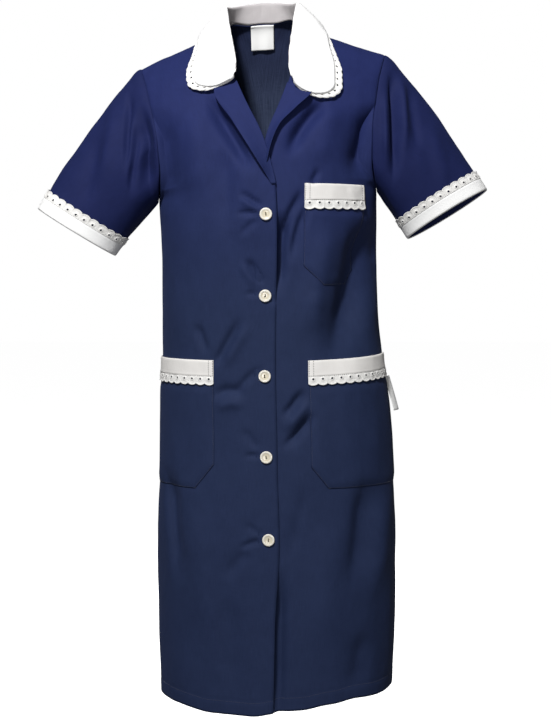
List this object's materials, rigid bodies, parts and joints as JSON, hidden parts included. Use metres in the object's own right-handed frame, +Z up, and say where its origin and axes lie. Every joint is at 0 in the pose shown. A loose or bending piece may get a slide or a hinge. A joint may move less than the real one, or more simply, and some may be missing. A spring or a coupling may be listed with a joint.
{
  "type": "work smock",
  "caption": "Short-sleeved button-through work smock, filled out with no wearer, with a rounded lace-edged collar, lapels, banded pockets and cuffs.",
  "frame": {"origin": "between the shoulders, in the middle of the neck at the height of the shoulder seams' neck ends, where a wearer's shoulders carry it", "axes": "+Z up, the front faces -Y, +X is the wearer's left"},
  "size_m": [0.717, 0.2776, 1.1087],
  "materials": {
    "navy_cloth": "fine navy poplin with a faint sheen",
    "white_cloth": "plain white poplin, topstitched",
    "lace": "white eyelet lace with a scalloped edge",
    "button": "cream polished resin",
    "label": "white satin ribbon, bare"
  },
  "bodies": {
    "root": {"front_right_hem": "navy_cloth", "front_right_skirt": "navy_cloth", "front_right_waist": "navy_cloth", "front_right_chest": "navy_cloth", "front_left_hem": "navy_cloth", "front_left_skirt": "navy_cloth", "front_left_waist": "navy_cloth", "front_left_chest": "navy_cloth", "back_hem": "navy_cloth", "back_skirt": "navy_cloth", "back_waist": "navy_cloth", "back_chest": "navy_cloth", "lapel_right": "navy_cloth", "lapel_left": "navy_cloth", "sleeve_right": "navy_cloth", "sleeve_left": "navy_cloth", "cuff_right": "white_cloth", "cuff_left": "white_cloth", "cuff_lace_right": "lace", "cuff_lace_left": "lace", "collar": "white_cloth", "collar_lace": "lace", "chest_pocket": "navy_cloth", "chest_band": "white_cloth", "chest_lace": "lace", "hip_pocket_right": "navy_cloth", "hip_band_right": "white_cloth", "hip_lace_right": "lace", "hip_pocket_left": "navy_cloth", "hip_band_left": "white_cloth", "hip_lace_left": "lace", "button_1": "button", "button_2": "button", "button_3": "button", "button_4": "button", "button_5": "button", "neck_label": "label", "side_label": "label"}
  },
  "joints": []
}
